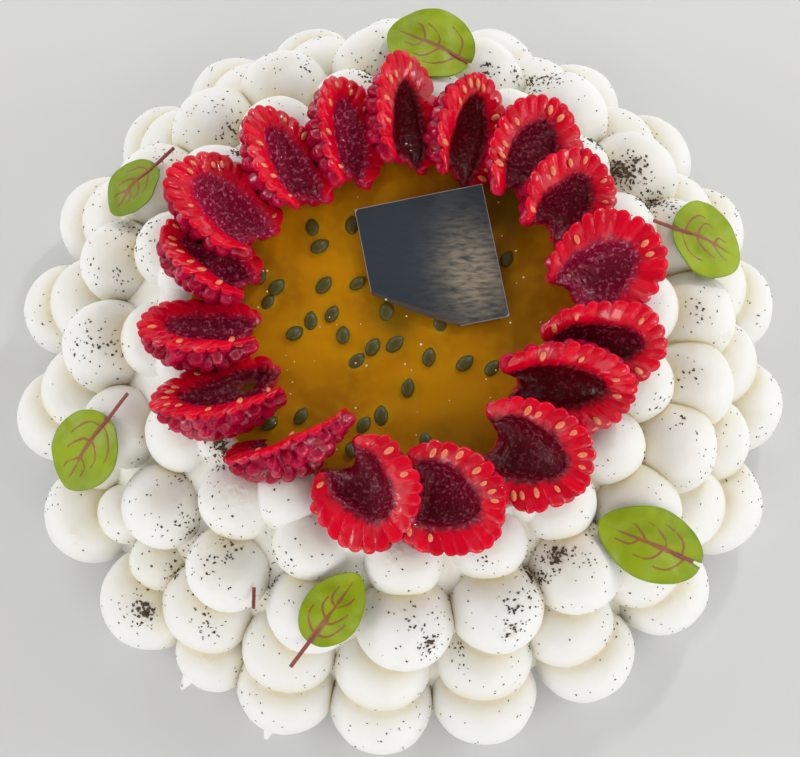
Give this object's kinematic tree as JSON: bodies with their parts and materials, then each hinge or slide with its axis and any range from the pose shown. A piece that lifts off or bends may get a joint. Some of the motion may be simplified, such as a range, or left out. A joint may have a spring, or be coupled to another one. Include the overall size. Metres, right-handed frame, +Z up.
{
  "type": "pavlova",
  "caption": "Round pavlova walled with piped cream dollops, topped by passion fruit jelly, a ring of halved raspberries, small leaves, dark specks and a blank dark card.",
  "frame": {"origin": "middle of the flat base, on the surface the cake stands on", "axes": "+Z up; -Y towards the viewer of the picture, whose view has +X to its right"},
  "size_m": [0.1929, 0.1948, 0.0746],
  "materials": {
    "cream": "soft whipped cream, smooth with a faint sheen",
    "jelly": "clear glossy amber jelly",
    "raspberry": "moist red fruit flesh",
    "leaf": "fresh leaf, satin, with dark red veins",
    "stalk": "fresh dark red stalk",
    "card": "dark laminated card, glossy"
  },
  "bodies": {
    "root": {"card": "card", "cream": "cream", "jelly": "jelly", "leaf_1": "leaf", "leaf_2": "leaf", "leaf_3": "leaf", "leaf_4": "leaf", "leaf_5": "leaf", "leaf_6": "leaf", "raspberry_01": "raspberry", "raspberry_02": "raspberry", "raspberry_03": "raspberry", "raspberry_04": "raspberry", "raspberry_05": "raspberry", "raspberry_06": "raspberry", "raspberry_07": "raspberry", "raspberry_08": "raspberry", "raspberry_09": "raspberry", "raspberry_10": "raspberry", "raspberry_11": "raspberry", "raspberry_12": "raspberry", "raspberry_13": "raspberry", "raspberry_14": "raspberry", "raspberry_15": "raspberry", "raspberry_16": "raspberry", "raspberry_17": "raspberry", "stalk_scrap": "stalk"}
  },
  "joints": []
}
